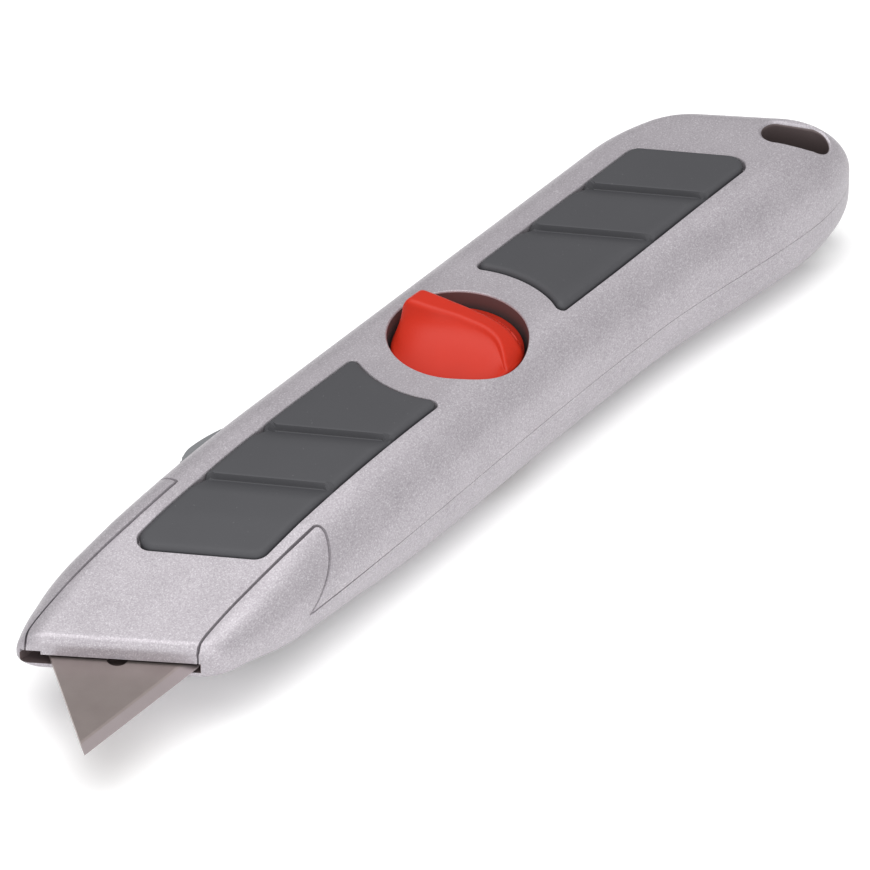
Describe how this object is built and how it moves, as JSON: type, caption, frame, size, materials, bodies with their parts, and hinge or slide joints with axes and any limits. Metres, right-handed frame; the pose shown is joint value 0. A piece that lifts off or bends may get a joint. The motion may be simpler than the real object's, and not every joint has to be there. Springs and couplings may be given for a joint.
{
  "type": "retractable utility knife",
  "caption": "Retractable utility knife in a two-part silver casing with rubber grip inlays, a red turn-knob lock, a thumb slider and a trapezoid blade.",
  "frame": {"origin": "middle of the underside: the box's centre in X and Y, on the plane of the back grips, with the blade out", "axes": "+X towards the rear and the hang slot, +Y towards the spine and the thumb button, +Z towards the face and the knob"},
  "size_m": [0.1696, 0.0334, 0.025],
  "materials": {
    "silver_paint": "silver powder coat with a fine sparkle",
    "grip_rubber": "dark grey moulded rubber, matte",
    "red_plastic": "red moulded plastic, satin",
    "blade_steel": "ground tool steel with a lighter bevel",
    "spring_steel": "plain spring steel",
    "brass": "machined brass",
    "grey_plastic": "light grey moulded plastic",
    "black_plastic": "black moulded plastic"
  },
  "bodies": {
    "root": {"back_casing": "silver_paint", "back_front_grip": "grip_rubber", "back_rear_grip": "grip_rubber", "threaded_insert": "brass", "detent_rail": "spring_steel", "spare_blade_1": "blade_steel", "spare_blade_2": "blade_steel", "spare_blade_3": "blade_steel", "spare_blade_4": "blade_steel", "spare_blade_tray": "black_plastic", "spare_blade_clip": "spring_steel", "dowel_pin_front": "spring_steel", "dowel_pin_rear": "spring_steel"},
    "face_half": {"face_casing": "silver_paint", "face_front_grip": "grip_rubber", "face_rear_grip": "grip_rubber"},
    "knob": {"lock_knob": "red_plastic", "knob_screw": "spring_steel", "knob_washer": "spring_steel", "knob_retaining_ring": "spring_steel"},
    "carriage": {"blade_carriage": "black_plastic", "blade": "blade_steel", "blade_retaining_spring": "spring_steel"},
    "button": {"thumb_button": "grey_plastic", "button_spring": "spring_steel"}
  },
  "joints": [
    {"name": "blade_slide", "type": "slide", "parent": "root", "child": "carriage", "axis": [1, 0, 0], "range_m": [0, 0.025]},
    {"name": "button_press", "type": "slide", "parent": "carriage", "child": "button", "axis": [0, -1, 0], "range_m": [0, 0.0012], "stiffness_N_per_m": 1500, "deforming": ["button_spring"]},
    {"name": "face_casing_lift", "type": "slide", "parent": "root", "child": "face_half", "axis": [0, 0, 1], "range_m": [0, 0.035]},
    {"name": "knob_turn", "type": "hinge", "parent": "face_half", "child": "knob", "pos_m": [0.00835, -0.00072, 0.011], "axis": [0, 0, 1], "range_deg": [0, 1530]}
  ]
}
